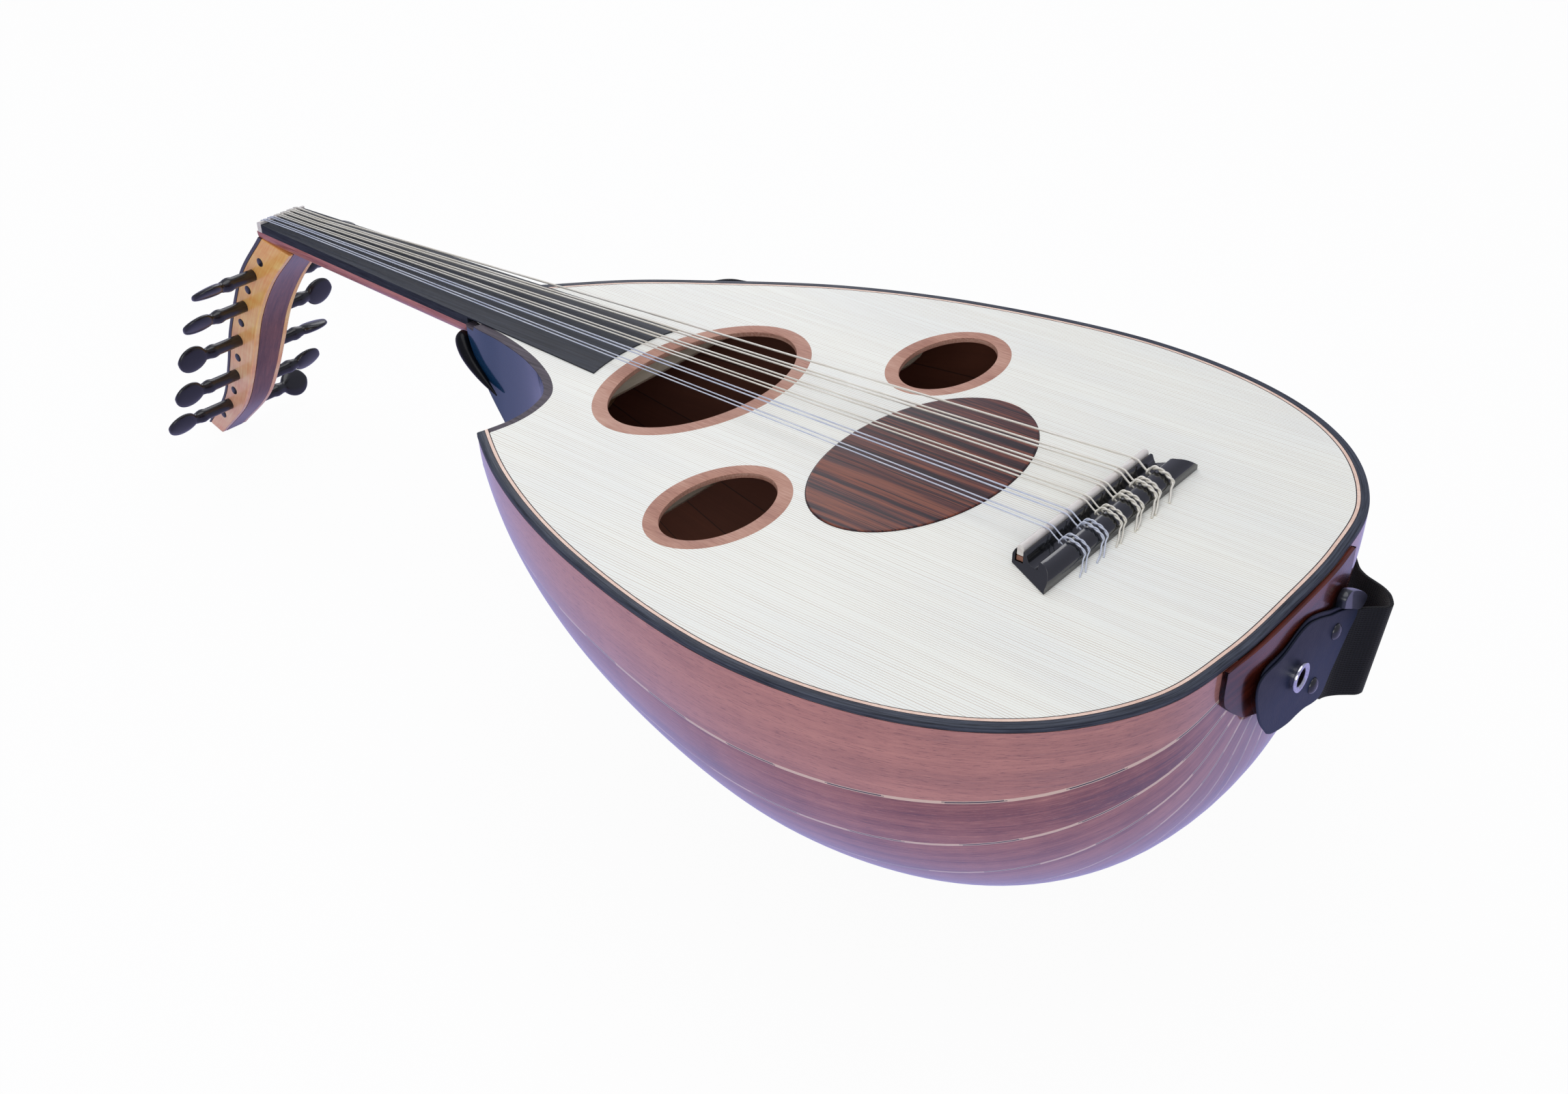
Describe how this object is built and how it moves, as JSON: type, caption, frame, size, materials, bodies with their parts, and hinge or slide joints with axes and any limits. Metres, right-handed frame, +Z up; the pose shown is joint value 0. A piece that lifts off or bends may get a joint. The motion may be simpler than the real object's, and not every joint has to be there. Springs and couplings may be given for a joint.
{
  "type": "electric oud",
  "caption": "Short-necked fretless lute with a deep ribbed bowl, a cutaway shoulder, oval sound holes, a bent-back pegbox with wooden pegs and an end-pin jack with a strap.",
  "frame": {"origin": "middle of the bounding box in plan, on the surface that the oud lies on with its back down", "axes": "+X along the strings from the pegbox to the tail, +Y to the bass side away from the cutaway, +Z up out of the soundboard"},
  "size_m": [0.8302, 0.3708, 0.199],
  "materials": {
    "rib_wood": "high gloss lacquer",
    "peg_black": "polished",
    "nylon_string": "clear nylon",
    "wound_string": "silver winding",
    "gloss_black": "gloss black lacquer",
    "block_wood": "bare",
    "clasp_wood": "high gloss lacquer",
    "spruce": "satin",
    "ring_wood": "satin",
    "pickguard_wood": "satin",
    "ebony": "satin",
    "neck_wood": "satin",
    "bone": "polished bone",
    "pickup": "matt",
    "cheek_wood": "gloss lacquer",
    "pegbox_back_wood": "gloss lacquer",
    "chrome": "polished",
    "leather": "smooth leather",
    "webbing": "woven cotton"
  },
  "bodies": {
    "oud": {"rib_01": "rib_wood", "rib_02": "rib_wood", "rib_03": "rib_wood", "rib_04": "rib_wood", "rib_05": "rib_wood", "rib_06": "rib_wood", "rib_07": "rib_wood", "rib_08": "rib_wood", "rib_09": "rib_wood", "rib_10": "rib_wood", "rib_11": "rib_wood", "rib_12": "rib_wood", "rib_13": "rib_wood", "rib_14": "rib_wood", "rib_15": "rib_wood", "cutaway_wall": "gloss_black", "neck_block": "block_wood", "tail_block": "block_wood", "end_clasp": "clasp_wood", "soundboard": "spruce", "soundhole_ring_large": "ring_wood", "soundhole_ring_treble": "ring_wood", "soundhole_ring_bass": "ring_wood", "pickguard": "pickguard_wood", "edge_binding": "ebony", "neck": "neck_wood", "fingerboard": "ebony", "nut": "bone", "bridge": "gloss_black", "saddle": "bone", "pickup_strip": "pickup", "pegbox_cheek_treble": "cheek_wood", "pegbox_cheek_bass": "cheek_wood", "pegbox_back": "pegbox_back_wood", "string_01": "nylon_string", "string_02": "nylon_string", "string_03": "nylon_string", "string_04": "nylon_string", "string_05": "wound_string", "string_06": "wound_string", "string_07": "wound_string", "string_08": "wound_string", "string_09": "wound_string", "string_10": "wound_string", "string_11": "wound_string", "end_pin_jack": "chrome", "strap_leather_end": "leather", "strap_webbing": "webbing", "strap_button": "chrome"},
    "peg_01_body": {"peg_01": "peg_black"},
    "peg_02_body": {"peg_02": "peg_black"},
    "peg_03_body": {"peg_03": "peg_black"},
    "peg_04_body": {"peg_04": "peg_black"},
    "peg_05_body": {"peg_05": "peg_black"},
    "peg_06_body": {"peg_06": "peg_black"},
    "peg_07_body": {"peg_07": "peg_black"},
    "peg_08_body": {"peg_08": "peg_black"},
    "peg_09_body": {"peg_09": "peg_black"},
    "peg_10_body": {"peg_10": "peg_black"},
    "peg_11_body": {"peg_11": "peg_black"}
  },
  "joints": [
    {"name": "peg_01_turn", "type": "hinge", "parent": "oud", "child": "peg_01_body", "pos_m": [-0.30563, -0.00095, 0.15955], "axis": [0, 1, 0], "continuous": true},
    {"name": "peg_02_turn", "type": "hinge", "parent": "oud", "child": "peg_02_body", "pos_m": [-0.31713, -0.00095, 0.14736], "axis": [0, -1, 0], "continuous": true},
    {"name": "peg_03_turn", "type": "hinge", "parent": "oud", "child": "peg_03_body", "pos_m": [-0.32707, -0.00095, 0.13389], "axis": [0, 1, 0], "continuous": true},
    {"name": "peg_04_turn", "type": "hinge", "parent": "oud", "child": "peg_04_body", "pos_m": [-0.33579, -0.00095, 0.1196], "axis": [0, -1, 0], "continuous": true},
    {"name": "peg_05_turn", "type": "hinge", "parent": "oud", "child": "peg_05_body", "pos_m": [-0.34385, -0.00095, 0.10491], "axis": [0, 1, 0], "continuous": true},
    {"name": "peg_06_turn", "type": "hinge", "parent": "oud", "child": "peg_06_body", "pos_m": [-0.35111, -0.00095, 0.08981], "axis": [0, -1, 0], "continuous": true},
    {"name": "peg_07_turn", "type": "hinge", "parent": "oud", "child": "peg_07_body", "pos_m": [-0.35766, -0.00095, 0.07439], "axis": [0, 1, 0], "continuous": true},
    {"name": "peg_08_turn", "type": "hinge", "parent": "oud", "child": "peg_08_body", "pos_m": [-0.36445, -0.00095, 0.05909], "axis": [0, -1, 0], "continuous": true},
    {"name": "peg_09_turn", "type": "hinge", "parent": "oud", "child": "peg_09_body", "pos_m": [-0.37199, -0.00095, 0.04416], "axis": [0, 1, 0], "continuous": true},
    {"name": "peg_10_turn", "type": "hinge", "parent": "oud", "child": "peg_10_body", "pos_m": [-0.38149, -0.00095, 0.03046], "axis": [0, -1, 0], "continuous": true},
    {"name": "peg_11_turn", "type": "hinge", "parent": "oud", "child": "peg_11_body", "pos_m": [-0.39301, -0.00095, 0.01833], "axis": [0, 1, 0], "continuous": true}
  ]
}
